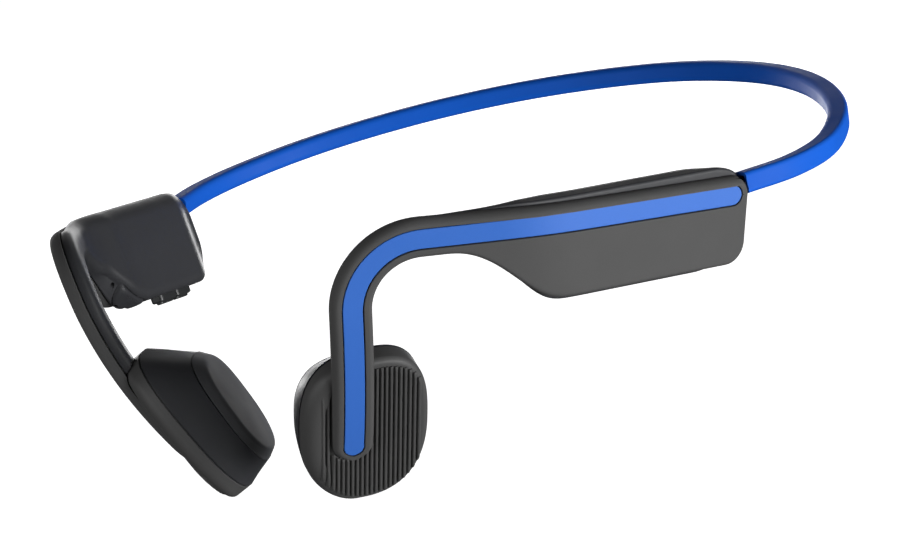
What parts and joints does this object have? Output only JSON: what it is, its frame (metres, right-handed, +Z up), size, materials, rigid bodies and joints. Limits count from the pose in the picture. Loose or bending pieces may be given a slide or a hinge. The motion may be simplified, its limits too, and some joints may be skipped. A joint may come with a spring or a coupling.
{
  "type": "bone conduction headphones",
  "caption": "Open-ear bone conduction headphones: a sprung neckband joins two arms with electronics pods, ear hooks and cheek transducers, with a blue inlay along each arm.",
  "frame": {"origin": "centre of the whole object's bounding box, on the left-right mirror plane", "axes": "+X is the wearer's left, +Y the back of the head where the neckband runs, +Z up, in the attitude in which the headphones are worn"},
  "size_m": [0.1362, 0.1364, 0.0554],
  "materials": {
    "shell": "satin dark grey moulded shell",
    "face": "fine matte mid grey outer face",
    "stripe": "smooth blue inlay, slight gloss",
    "band": "blue silicone skin, satin",
    "ribbed": "matte ribbed grip",
    "pad": "soft matte grey contact face",
    "button": "near black",
    "steel": "bright",
    "magnet": "nickel plated",
    "copper": "enamelled copper winding",
    "board": "solder mask",
    "cell": "foil pouch",
    "wire": "insulated"
  },
  "bodies": {
    "left_side": {"left_outer_shell": "face", "left_stripe_inlay": "stripe", "left_inner_shell": "shell", "left_hook_core_wire": "steel", "left_hook_cable": "wire", "left_band_anchor": "steel", "left_transducer_housing": "shell", "left_contact_pad": "pad", "left_spring_plate": "steel", "left_voice_coil": "copper", "left_magnet": "magnet", "left_magnet_yoke": "steel", "left_transducer_back_plate": "shell", "multifunction_switch": "button", "battery": "cell", "battery_board": "board", "neckband_sleeve_left": "band", "neckband_flex_section": "band", "neckband_core_wire": "steel", "neckband_cable": "wire"},
    "right_side": {"right_outer_shell": "face", "right_stripe_inlay": "stripe", "right_inner_shell": "shell", "right_hook_core_wire": "steel", "right_hook_cable": "wire", "right_band_anchor": "steel", "right_transducer_housing": "shell", "right_contact_pad": "pad", "right_spring_plate": "steel", "right_voice_coil": "copper", "right_magnet": "magnet", "right_magnet_yoke": "steel", "right_transducer_back_plate": "shell", "right_ribbed_cap": "ribbed", "main_board": "board", "charging_port": "steel", "microphone": "steel", "volume_down_switch": "steel", "volume_up_switch": "steel", "neckband_sleeve_right": "band"},
    "multifunction_button": {"left_multifunction_button": "ribbed"},
    "volume_down_button": {"volume_down_button": "button"},
    "volume_up_button": {"volume_up_button": "button"},
    "charging_port_cover": {"charging_port_cover": "button"}
  },
  "joints": [
    {"name": "band_spread", "type": "hinge", "parent": "left_side", "child": "right_side", "pos_m": [0, 0.06644, 0.02593], "axis": [0, 0, -1], "range_deg": [0, 45], "stiffness_Nm_per_rad": 0.15, "deforming": ["neckband_flex_section", "neckband_core_wire", "neckband_cable"]},
    {"name": "multifunction_press", "type": "slide", "parent": "left_side", "child": "multifunction_button", "axis": [-0.7301, 0.4369, 0.5255], "range_m": [0, 0.0003], "stiffness_N_per_m": 1200},
    {"name": "volume_down_press", "type": "slide", "parent": "right_side", "child": "volume_down_button", "axis": [-0.2497, -0.0508, 0.967], "range_m": [0, 0.0004], "stiffness_N_per_m": 800},
    {"name": "volume_up_press", "type": "slide", "parent": "right_side", "child": "volume_up_button", "axis": [-0.2497, -0.0508, 0.967], "range_m": [0, 0.0004], "stiffness_N_per_m": 800},
    {"name": "port_cover_hinge", "type": "hinge", "parent": "right_side", "child": "charging_port_cover", "pos_m": [-0.04524, -0.04044, 0.00471], "axis": [-0.9019, -0.3443, -0.2609], "range_deg": [0, 95]}
  ]
}
